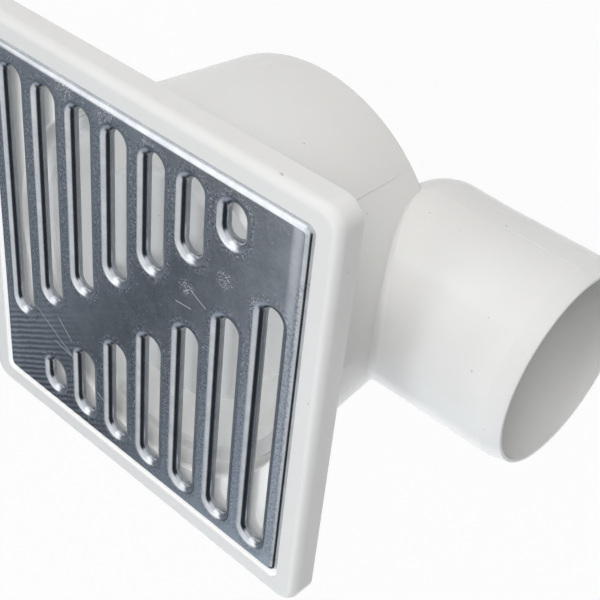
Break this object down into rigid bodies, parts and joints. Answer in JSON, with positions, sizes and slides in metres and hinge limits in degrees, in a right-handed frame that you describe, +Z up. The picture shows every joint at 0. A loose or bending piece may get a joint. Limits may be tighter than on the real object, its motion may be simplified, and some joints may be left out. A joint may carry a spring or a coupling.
{
  "type": "gully trap",
  "caption": "Square floor gully trap with a horizontal outlet spigot, a pressed slotted stainless grate, and a lift-out water trap cup with its bell.",
  "frame": {"origin": "on the vessel's axis, level with the frame's top face, which is flush with the finished floor", "axes": "+Z up through the grate, +X along the outlet spigot towards its mouth, +Y along the grate's slots"},
  "size_m": [0.1308, 0.108, 0.0826],
  "materials": {
    "white_plastic": "smooth moulded polypropylene",
    "stainless_sheet": "bright rolled stainless sheet with fine scratches",
    "seal_rubber": "matte"
  },
  "bodies": {
    "root": {"body": "white_plastic", "trap_cup": "white_plastic", "cup_seal": "seal_rubber", "bell": "white_plastic", "grate": "stainless_sheet"}
  },
  "joints": []
}
